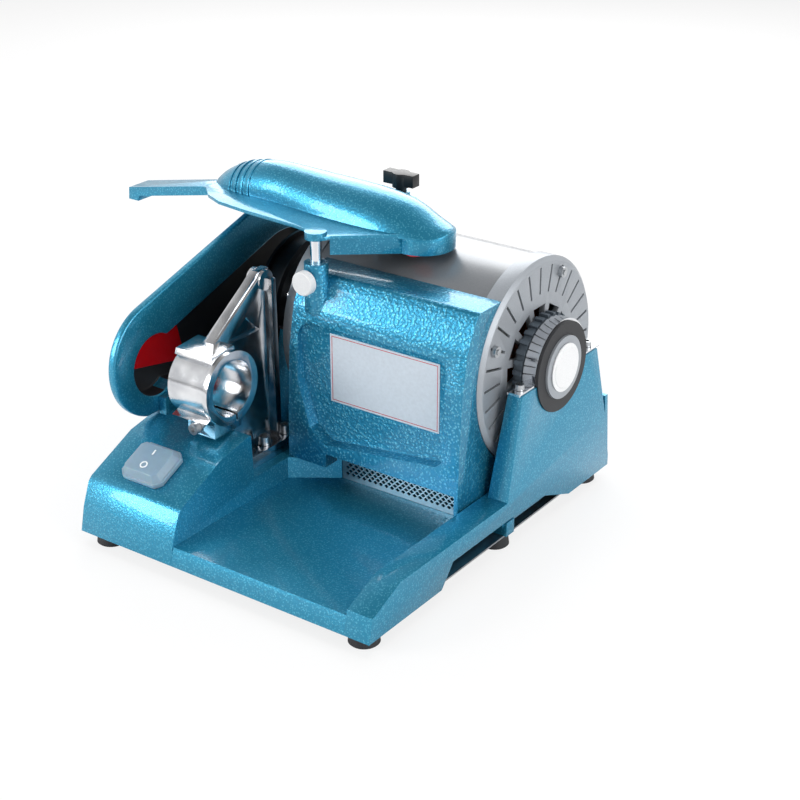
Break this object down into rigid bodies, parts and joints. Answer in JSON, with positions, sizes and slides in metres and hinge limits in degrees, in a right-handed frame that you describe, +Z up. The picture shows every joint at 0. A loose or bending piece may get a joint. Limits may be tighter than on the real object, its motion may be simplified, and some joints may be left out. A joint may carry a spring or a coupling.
{
  "type": "dental lathe",
  "caption": "Bench dental lathe: hammertone base with dust tray and rocker switch, motor on resilient mounts, suction housing, belt guard, split-clamp spindle bracket and lamp hood on a post.",
  "frame": {"origin": "middle of the base casting's plan, on the bench under the feet", "axes": "+X to the right along the motor shaft, +Y to the back, +Z up"},
  "size_m": [0.4495, 0.389, 0.283],
  "materials": {
    "hammertone_blue": "hammertone enamel",
    "motor_grey": "semi-gloss grey enamel",
    "steel": "machined",
    "core_steel": "laminated",
    "copper": "enamelled copper wire",
    "chrome": "polished",
    "black_rubber": "matt",
    "black_plastic": "satin",
    "white_plastic": "satin",
    "clear_rubber": "translucent soft",
    "cast_aluminium": "polished casting",
    "sheet_steel": "zinc plated",
    "lamp_glass": "frosted",
    "red_plastic": "translucent red"
  },
  "bodies": {
    "base": {"base_casting": "hammertone_blue", "bearing_left": "steel", "bearing_right": "steel", "belt_guard": "hammertone_blue", "bottom_cover": "sheet_steel", "bracket_bolt_back": "steel", "bracket_bolt_front": "steel", "capacitor": "sheet_steel", "dust_outlet": "sheet_steel", "foot_1": "black_rubber", "foot_2": "black_rubber", "foot_3": "black_rubber", "foot_4": "black_rubber", "foot_5": "black_rubber", "foot_6": "black_rubber", "front_housing": "hammertone_blue", "hub_cap": "white_plastic", "motor_bell_left": "motor_grey", "motor_bell_right": "motor_grey", "motor_shell": "motor_grey", "mount_collar_left": "steel", "mount_collar_right": "steel", "mount_strap_left": "chrome", "mount_strap_right": "chrome", "power_inlet": "black_plastic", "rubber_ring_left": "black_rubber", "rubber_ring_right": "black_rubber", "stator_core": "core_steel", "stator_winding_left": "copper", "stator_winding_right": "copper", "strap_screw_left_back": "steel", "strap_screw_left_front": "steel", "strap_screw_right_back": "steel", "strap_screw_right_front": "steel", "suction_grille": "sheet_steel", "switch_boot": "clear_rubber", "switch_frame": "black_plastic", "tie_bolt_1": "steel", "tie_bolt_2": "steel", "tie_bolt_3": "steel", "tie_bolt_4": "steel"},
    "rotor": {"motor_shaft": "steel", "rotor_core": "core_steel", "motor_pulley": "black_plastic"},
    "rocker": {"switch_rocker": "white_plastic"},
    "post": {"lamp_post": "chrome"},
    "hood": {"lamp_hood": "hammertone_blue", "lamp_reflector": "sheet_steel", "lamp_socket": "black_plastic", "lamp_bulb": "lamp_glass"},
    "hood_knob": {"hood_knob": "black_plastic"},
    "post_knob": {"post_knob": "white_plastic"},
    "lamp_switch": {"lamp_switch": "red_plastic"},
    "bracket": {"spindle_bracket": "cast_aluminium"},
    "clamp_screw": {"clamp_screw": "steel"}
  },
  "joints": [
    {"name": "rotor_spin", "type": "hinge", "parent": "base", "child": "rotor", "pos_m": [0.0247, 0.092, 0.145], "axis": [1, 0, 0], "continuous": true},
    {"name": "rocker_tip", "type": "hinge", "parent": "base", "child": "rocker", "pos_m": [-0.1045, -0.14325, 0.07005], "axis": [1, 0, 0], "range_deg": [-16, 0]},
    {"name": "post_slide", "type": "slide", "parent": "base", "child": "post", "axis": [0, 0, 1], "range_m": [0, 0.04]},
    {"name": "hood_swing", "type": "hinge", "parent": "post", "child": "hood", "pos_m": [-0.031, -0.008, 0.255], "axis": [0, 0, 1], "range_deg": [-10, 100]},
    {"name": "hood_knob_turn", "type": "hinge", "parent": "hood", "child": "hood_knob", "pos_m": [-0.027, 0.11, 0.27], "axis": [0, 0, 1], "range_deg": [0, 180]},
    {"name": "post_knob_turn", "type": "hinge", "parent": "base", "child": "post_knob", "pos_m": [-0.031, -0.023, 0.216], "axis": [0, 1, 0], "range_deg": [0, 360]},
    {"name": "lamp_switch_press", "type": "slide", "parent": "hood", "child": "lamp_switch", "axis": [0, 0, 1], "range_m": [0, 0.001], "stiffness_N_per_m": 400},
    {"name": "bracket_slide", "type": "slide", "parent": "base", "child": "bracket", "axis": [0, 1, 0], "range_m": [-0.004, 0.004]},
    {"name": "clamp_screw_turn", "type": "hinge", "parent": "bracket", "child": "clamp_screw", "pos_m": [-0.0881, -0.1, 0.0965], "axis": [0, 1, 0], "range_deg": [0, 360]}
  ]
}
